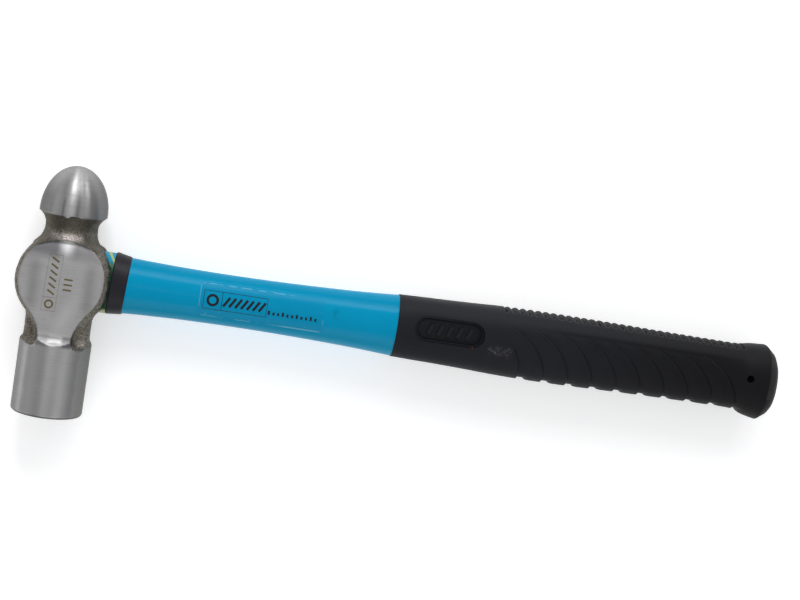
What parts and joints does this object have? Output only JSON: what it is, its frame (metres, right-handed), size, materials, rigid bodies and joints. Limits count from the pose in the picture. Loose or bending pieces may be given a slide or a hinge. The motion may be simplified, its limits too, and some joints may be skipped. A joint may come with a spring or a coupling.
{
  "type": "ball peen hammer",
  "caption": "Ball peen hammer with a forged steel head, a bonded glass-fibre handle in a plastic jacket, a rubber collar and a ribbed rubber grip with a hanging hole.",
  "frame": {"origin": "centre of the striking face, on the head's axis", "axes": "+X along the handle from head to butt, +Y up the head from the striking face to the peen, +Z out of the ground cheek; the hammer lies on its side"},
  "size_m": [0.3343, 0.1061, 0.0304],
  "materials": {
    "head_steel": "ground and brushed on dome, poll and cheeks, dark forged scale between",
    "core_fibre": "cut end of a glass-fibre rod",
    "jacket_plastic": "smooth glossy turquoise",
    "resin": "cured green resin with yellow streaks",
    "collar_rubber": "satin black",
    "grip_rubber": "matte black with moulded ribs",
    "label_clear": null
  },
  "bodies": {
    "root": {"hammer_head": "head_steel", "core_rod": "core_fibre", "handle_jacket": "jacket_plastic", "eye_resin": "resin", "collar_ring": "collar_rubber", "grip_sleeve": "grip_rubber", "label_film": "label_clear"}
  },
  "joints": []
}
